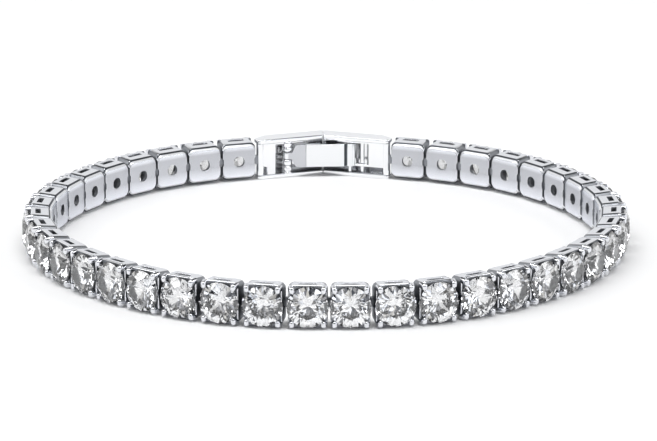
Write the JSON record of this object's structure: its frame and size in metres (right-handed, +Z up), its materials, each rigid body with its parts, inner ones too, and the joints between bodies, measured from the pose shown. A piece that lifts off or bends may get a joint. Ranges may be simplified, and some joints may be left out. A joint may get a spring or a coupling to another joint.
{
  "type": "tennis bracelet",
  "caption": "Closed tennis bracelet of hinged square box settings with round white stones and a fold-over clasp, lying on its edge.",
  "frame": {"origin": "middle of the bracelet's footprint, on the surface that it lies on", "axes": "+Z up, across the band; +Y from the front middle towards the clasp; +X along the widest extent"},
  "size_m": [0.0644, 0.0636, 0.0046],
  "materials": {
    "polished_silver": "polished",
    "lever_silver": "polished"
  },
  "bodies": {
    "bracelet": {"clasp_frame_left": "polished_silver", "clasp_frame_right": "polished_silver", "clasp_lever_pin": "polished_silver", "link_01": "polished_silver", "link_02": "polished_silver", "link_03": "polished_silver", "link_04": "polished_silver", "link_05": "polished_silver", "link_06": "polished_silver", "link_07": "polished_silver", "link_08": "polished_silver", "link_09": "polished_silver", "link_10": "polished_silver", "link_11": "polished_silver", "link_12": "polished_silver", "link_13": "polished_silver", "link_14": "polished_silver", "link_15": "polished_silver", "link_16": "polished_silver", "link_17": "polished_silver", "link_18": "polished_silver", "link_19": "polished_silver", "link_20": "polished_silver", "link_21": "polished_silver", "link_22": "polished_silver", "link_23": "polished_silver", "link_24": "polished_silver", "link_25": "polished_silver", "link_26": "polished_silver", "link_27": "polished_silver", "link_28": "polished_silver", "link_29": "polished_silver", "link_30": "polished_silver", "link_31": "polished_silver", "link_32": "polished_silver", "link_33": "polished_silver", "link_34": "polished_silver", "link_35": "polished_silver", "link_36": "polished_silver", "link_37": "polished_silver", "link_38": "polished_silver", "link_39": "polished_silver", "link_40": "polished_silver"},
    "lever": {"clasp_lever": "lever_silver"}
  },
  "joints": [
    {"name": "clasp_lever_hinge", "type": "hinge", "parent": "bracelet", "child": "lever", "pos_m": [-0.00437, 0.02848, 0.00248], "axis": [0, 0, -1], "range_deg": [0, 115]}
  ]
}
